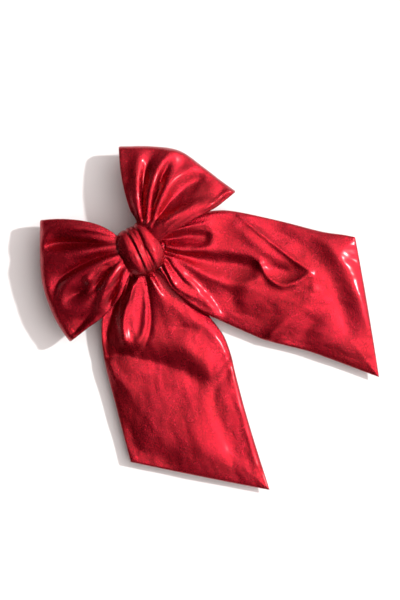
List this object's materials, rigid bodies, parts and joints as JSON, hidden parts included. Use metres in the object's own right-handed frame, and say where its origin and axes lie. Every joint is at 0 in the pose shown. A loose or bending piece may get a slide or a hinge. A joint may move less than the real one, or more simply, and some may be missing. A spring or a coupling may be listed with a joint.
{
  "type": "hair bow",
  "caption": "Large hair bow of metallic leatherette: loops and long tails gathered under a pleated knot wrap, on a sprung barrette whose clasp opens.",
  "frame": {"origin": "middle of the clasp arm's flat underside, which lies against the hair", "axes": "+X to the bow's right loop, +Y up the bow from the tails to the loops, +Z out of its front"},
  "size_m": [0.22, 0.2436, 0.0374],
  "materials": {
    "leatherette": "metallic-coated faux leather, glossy with a fine grain",
    "lining": "metallic-coated faux leather, inner side of the loops",
    "wrap": "metallic-coated faux leather, pleated",
    "thread": "twisted polyester sewing thread",
    "felt": "pressed felt, matt",
    "plated_steel": "nickel-plated pressed steel",
    "spring_steel": "plated spring steel, satin"
  },
  "bodies": {
    "bow": {"right_loop_outer": "leatherette", "right_loop_lining": "lining", "left_loop_outer": "leatherette", "left_loop_lining": "lining", "right_tail_front": "leatherette", "right_tail_back": "leatherette", "left_tail_front": "leatherette", "left_tail_back": "leatherette", "knot_wrap": "wrap", "gather_thread": "thread", "backing_pad": "felt", "pad_stitch_1": "thread", "pad_stitch_2": "thread", "pad_stitch_3": "thread", "pad_stitch_4": "thread", "clip_base_plate": "plated_steel", "clip_hinge_pin": "plated_steel", "tension_bar_rivet": "plated_steel", "catch_rivet": "plated_steel", "catch_body": "spring_steel"},
    "clasp": {"clip_clasp_arm": "plated_steel"},
    "tension_bar": {"clip_tension_bar": "spring_steel"},
    "upper_ear": {"catch_ear_upper": "spring_steel"},
    "lower_ear": {"catch_ear_lower": "spring_steel"}
  },
  "joints": [
    {"name": "clasp_open", "type": "hinge", "parent": "bow", "child": "clasp", "pos_m": [-0.037, 0, 0.0034], "axis": [0, 1, 0], "range_deg": [0, 75]},
    {"name": "tension_bar_flex", "type": "hinge", "parent": "bow", "child": "tension_bar", "pos_m": [-0.03, 0, 0.00919], "axis": [0, -1, 0], "range_deg": [0, 1.5], "stiffness_Nm_per_rad": 0.35},
    {"name": "catch_squeeze", "type": "hinge", "parent": "bow", "child": "upper_ear", "pos_m": [0.036, 0.0043, 0.00868], "axis": [-1, 0, 0], "range_deg": [0, 4], "stiffness_Nm_per_rad": 0.05},
    {"name": "catch_squeeze_lower", "type": "hinge", "parent": "bow", "child": "lower_ear", "pos_m": [0.036, -0.0043, 0.00868], "axis": [1, 0, 0], "range_deg": [0, 4], "stiffness_Nm_per_rad": 0.05}
  ],
  "couplings": [
    {"joint": "catch_squeeze_lower", "follows": "catch_squeeze", "ratio": 1}
  ]
}
